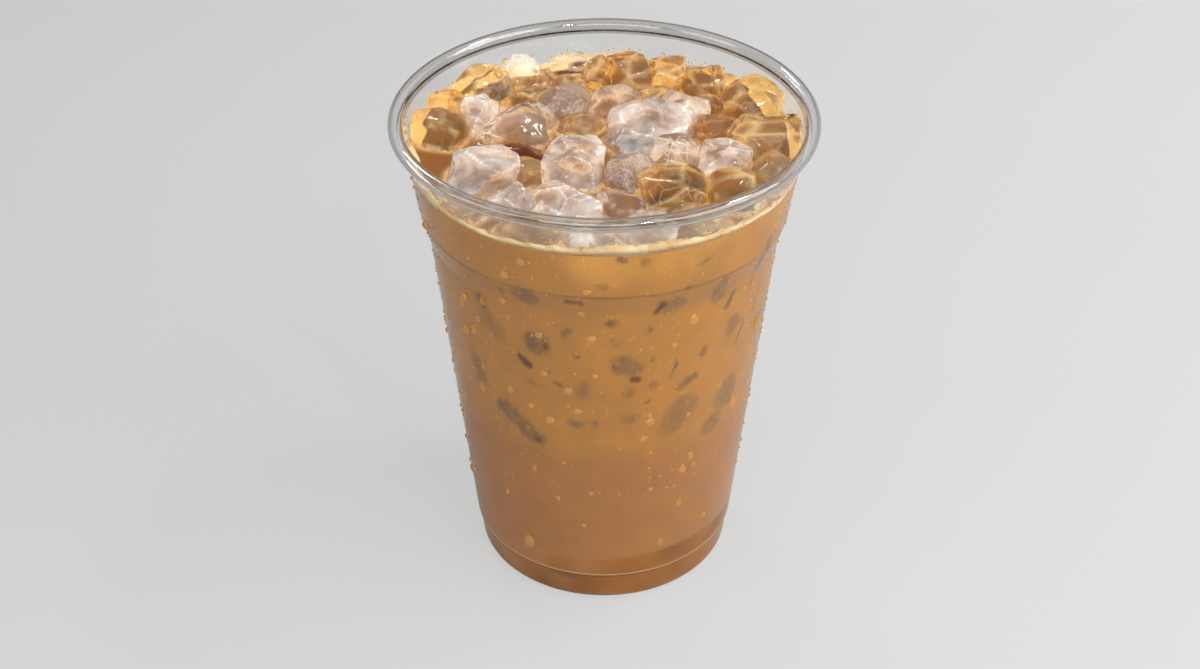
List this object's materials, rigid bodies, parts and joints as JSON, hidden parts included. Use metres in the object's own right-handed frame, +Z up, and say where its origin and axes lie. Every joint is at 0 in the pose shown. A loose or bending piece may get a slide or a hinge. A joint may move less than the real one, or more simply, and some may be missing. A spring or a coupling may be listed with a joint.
{
  "type": "iced coffee in a clear plastic cup",
  "caption": "Iced milk coffee with crushed ice heaped at the top, in a clear take-away cup with a rolled rim.",
  "frame": {"origin": "centre of the ring that the cup stands on, on the table", "axes": "+Z up along the cup's axis; the side that faces the viewer is -Y"},
  "size_m": [0.098, 0.098, 0.12],
  "materials": {
    "pet_cup": "clear thermoformed PET sheet",
    "settled_coffee": "amber coffee seen through the foot of the cup",
    "milky_coffee": "milk coffee, pinkish tan",
    "iced_coffee": "milk coffee, caramel tan, with ice in it",
    "froth": "pale cream froth at the wall",
    "ice": "wet broken ice, clear to frosted"
  },
  "bodies": {
    "root": {"cup": "pet_cup", "froth": "froth", "ice_01": "ice", "ice_02": "ice", "ice_03": "ice", "ice_04": "ice", "ice_05": "ice", "ice_06": "ice", "ice_07": "ice", "ice_08": "ice", "ice_09": "ice", "ice_10": "ice", "ice_11": "ice", "ice_12": "ice", "ice_13": "ice", "ice_14": "ice", "ice_15": "ice", "ice_16": "ice", "ice_17": "ice", "ice_18": "ice", "ice_19": "ice", "ice_20": "ice", "ice_21": "ice", "ice_22": "ice", "ice_23": "ice", "ice_24": "ice", "ice_25": "ice", "ice_26": "ice", "ice_27": "ice", "ice_28": "ice", "ice_29": "ice", "ice_30": "ice", "ice_31": "ice", "ice_32": "ice", "ice_33": "ice", "ice_34": "ice", "ice_35": "ice", "ice_36": "ice", "ice_37": "ice", "ice_38": "ice", "ice_39": "ice", "ice_40": "ice", "ice_41": "ice", "ice_42": "ice", "ice_43": "ice", "ice_44": "ice", "ice_45": "ice", "iced_coffee": "iced_coffee", "milky_coffee": "milky_coffee", "settled_coffee": "settled_coffee"}
  },
  "joints": []
}
